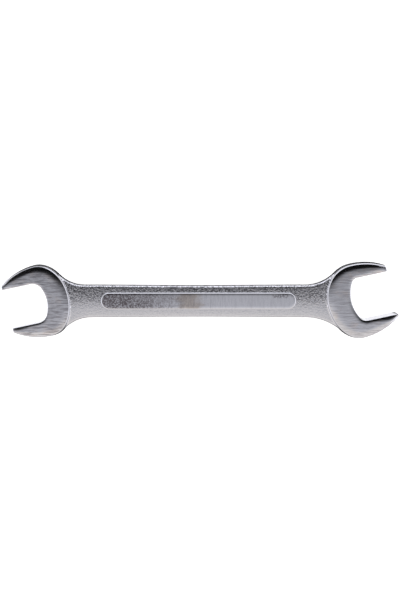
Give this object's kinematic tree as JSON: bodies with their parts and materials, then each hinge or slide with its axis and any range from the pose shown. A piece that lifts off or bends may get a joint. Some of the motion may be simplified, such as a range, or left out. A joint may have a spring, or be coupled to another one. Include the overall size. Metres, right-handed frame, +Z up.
{
  "type": "double open end wrench",
  "caption": "Forged double open end wrench: two C-shaped jaws of unlike size, turned the same way, joined by a crowned web with a raised grip panel on both faces, satin plated.",
  "frame": {"origin": "middle of the underside of the wrench's bounding box, on the surface that it lies on", "axes": "+X along the wrench towards the larger jaw, +Y across it in its own plane, +Z up out of its face"},
  "size_m": [0.246, 0.0478, 0.0095],
  "materials": {
    "satin_chrome": "satin plate over a ground finish on the head faces and an as-forged grain on the web"
  },
  "bodies": {
    "root": {"wrench_forging": "satin_chrome"}
  },
  "joints": []
}
